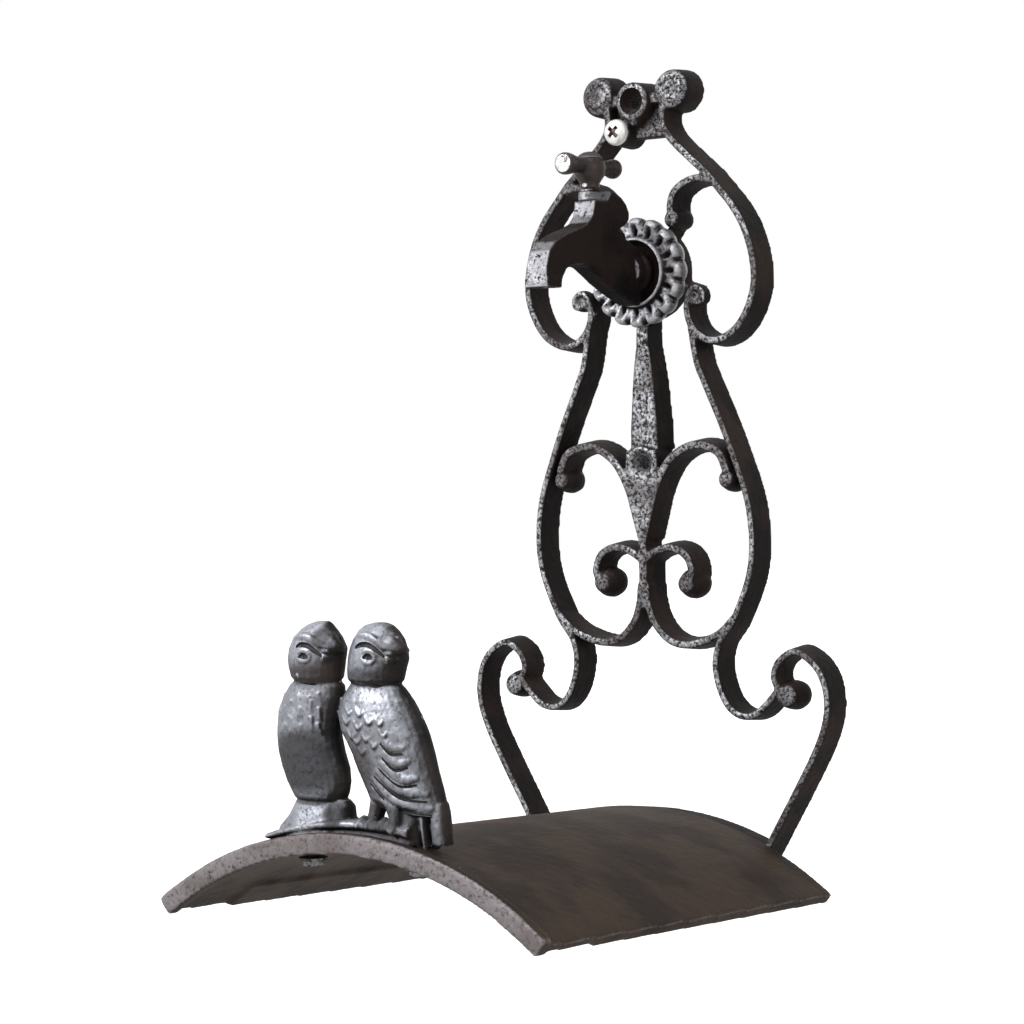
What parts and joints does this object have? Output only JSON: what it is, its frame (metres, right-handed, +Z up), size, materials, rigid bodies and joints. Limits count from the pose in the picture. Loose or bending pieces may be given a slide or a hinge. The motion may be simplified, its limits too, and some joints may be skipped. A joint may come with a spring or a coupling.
{
  "type": "wall hose holder",
  "caption": "Cast iron wall bracket with scrollwork, an arched saddle for a coiled garden hose, an ornamental tap with a turning handle, and perched birds as the front stop.",
  "frame": {"origin": "on the wall plane, half way between the two countersunk wall holes", "axes": "+Z up, +Y into the wall, the saddle reaches out to -Y, +X to the right seen from the front"},
  "size_m": [0.2, 0.2341, 0.3741],
  "materials": {
    "frame_iron": "rough casting, near black brown with silver rubbed faces",
    "tap_iron": "rough casting, near black with worn silver edges",
    "handle_iron": "rough casting, rust brown",
    "saddle_iron": "rough casting, rust brown with a grey rubbed rim",
    "bird_iron": "casting, blue black with silver highlights",
    "plain_steel": "dull",
    "zinc_steel": "bright zinc",
    "packing": "matt"
  },
  "bodies": {
    "bracket": {"back_frame": "frame_iron", "rosette": "frame_iron", "tap_body": "tap_iron", "tap_bonnet": "tap_iron", "tap_packing": "packing", "tap_washer": "plain_steel", "tap_nut": "plain_steel", "saddle": "saddle_iron", "saddle_bolts": "plain_steel", "saddle_washers": "plain_steel", "saddle_nuts": "plain_steel", "birds": "bird_iron", "bird_washers": "plain_steel", "bird_screws": "plain_steel", "arm_screw": "zinc_steel"},
    "handle": {"tap_spindle": "plain_steel", "tap_handle": "handle_iron", "tap_cap": "handle_iron"}
  },
  "joints": [
    {"name": "handle_turn", "type": "hinge", "parent": "bracket", "child": "handle", "pos_m": [0, -0.0502, 0.0508], "axis": [0, 0, 1], "continuous": true}
  ]
}
